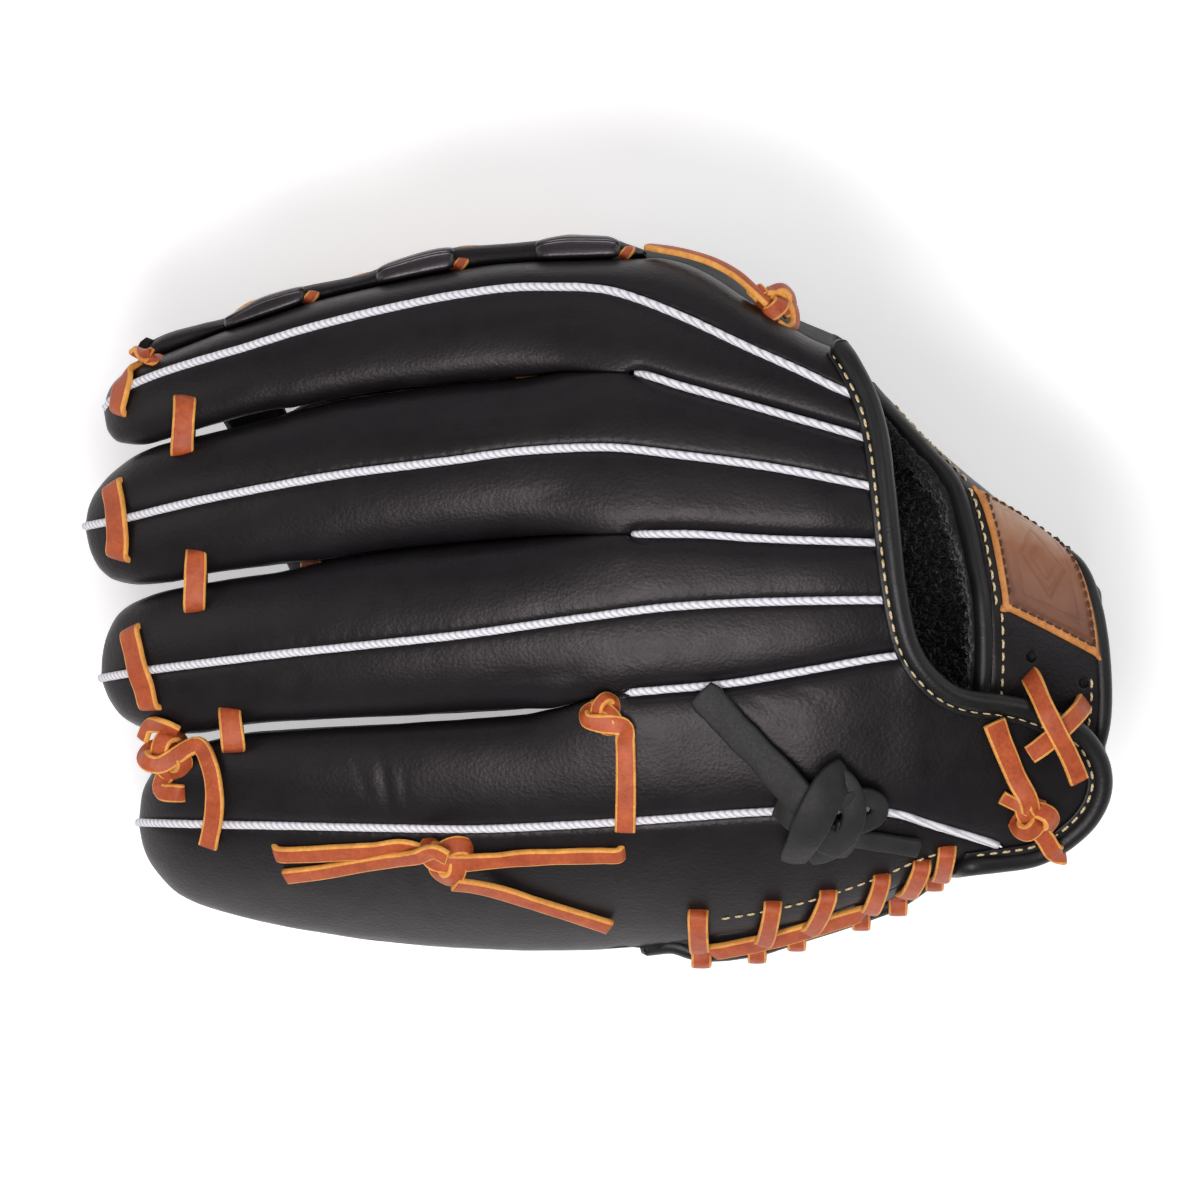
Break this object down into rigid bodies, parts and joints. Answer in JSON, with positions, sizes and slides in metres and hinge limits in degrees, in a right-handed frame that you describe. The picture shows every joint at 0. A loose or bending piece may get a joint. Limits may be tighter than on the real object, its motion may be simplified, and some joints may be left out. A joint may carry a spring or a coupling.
{
  "type": "baseball glove",
  "caption": "Closed fielder's glove for the left hand, with separate finger stalls, laced web, thumb stall, welted back, rolled bindings and a wrist strap.",
  "frame": {"origin": "centre of the glove's bounding box, at the floor it lies on, thumb side down", "axes": "+X from the finger tips to the wrist, +Y from the little finger to the web, +Z out of the back of the hand"},
  "size_m": [0.3106, 0.2188, 0.1308],
  "materials": {
    "black_leather": "smooth full-grain steerhide, soft sheen",
    "palm_leather": "full-grain palm leather",
    "tan_lace": "waxed rawhide lace",
    "black_lace": "dry matt leather lace",
    "white_welt": "white welting",
    "binding_leather": "rolled binding, smooth",
    "shearling": "black shearling",
    "lining_leather": "soft lining leather",
    "wool_felt": "pressed wool felt",
    "tan_patch_leather": "burnished tan leather"
  },
  "bodies": {
    "thumb_side": {"thumb_back_outer": "black_leather", "thumb_back_inner": "black_leather", "thumb_welt": "white_welt", "thumb_front": "palm_leather", "thumb_lining": "lining_leather", "thumb_stiffener": "wool_felt", "thumb_wall": "black_leather", "thumb_heel_binding": "binding_leather", "web_spine": "black_leather", "web_thumb_strip": "black_leather", "web_top_bar": "black_leather", "web_lower_lacing": "tan_lace", "thumb_tip_lace": "tan_lace"},
    "finger_side": {"index_back_upper": "black_leather", "index_back_lower": "black_leather", "middle_back_upper": "black_leather", "middle_back_lower": "black_leather", "ring_back_upper": "black_leather", "ring_back_lower": "black_leather", "pinky_back_upper": "black_leather", "pinky_back_lower": "black_leather", "index_front": "palm_leather", "middle_front": "palm_leather", "ring_front": "palm_leather", "pinky_front": "palm_leather", "finger_linings": "lining_leather", "pinky_stiffener": "wool_felt", "palm_shell": "palm_leather", "palm_felt_pad": "wool_felt", "palm_lining": "lining_leather", "index_wall": "black_leather", "index_welt": "white_welt", "middle_welt": "white_welt", "ring_welt": "white_welt", "pinky_welt": "white_welt", "gap_welts": "white_welt", "opening_binding": "binding_leather", "opening_lining": "shearling", "heel_binding": "binding_leather", "heel_edge_binding": "binding_leather", "web_index_strip": "black_leather", "web_pads": "black_leather", "web_upper_lacing": "tan_lace", "tip_lace_loops": "tan_lace", "tip_cross_laces": "tan_lace", "pinky_tip_knot": "tan_lace", "ring_pinky_knot": "tan_lace", "pinky_lace": "tan_lace", "palm_lace_knot": "black_lace", "wrist_lace_knot": "tan_lace", "heel_lace": "tan_lace", "web_base_lace": "tan_lace"},
    "wrist_strap": {"strap_outer": "black_leather", "strap_lining": "shearling", "strap_binding": "binding_leather", "strap_patch": "tan_patch_leather", "strap_x_lace": "tan_lace"}
  },
  "joints": [
    {"name": "pocket_fold", "type": "hinge", "parent": "thumb_side", "child": "finger_side", "pos_m": [0, 0.0755, 0.042], "axis": [-0.9827, 0.1854, 0], "range_deg": [-6, 40]},
    {"name": "strap_flex", "type": "hinge", "parent": "finger_side", "child": "wrist_strap", "pos_m": [0.1365, -0.036, 0.1], "axis": [-0.4608, 0.8314, -0.3105], "range_deg": [-4, 8]}
  ]
}
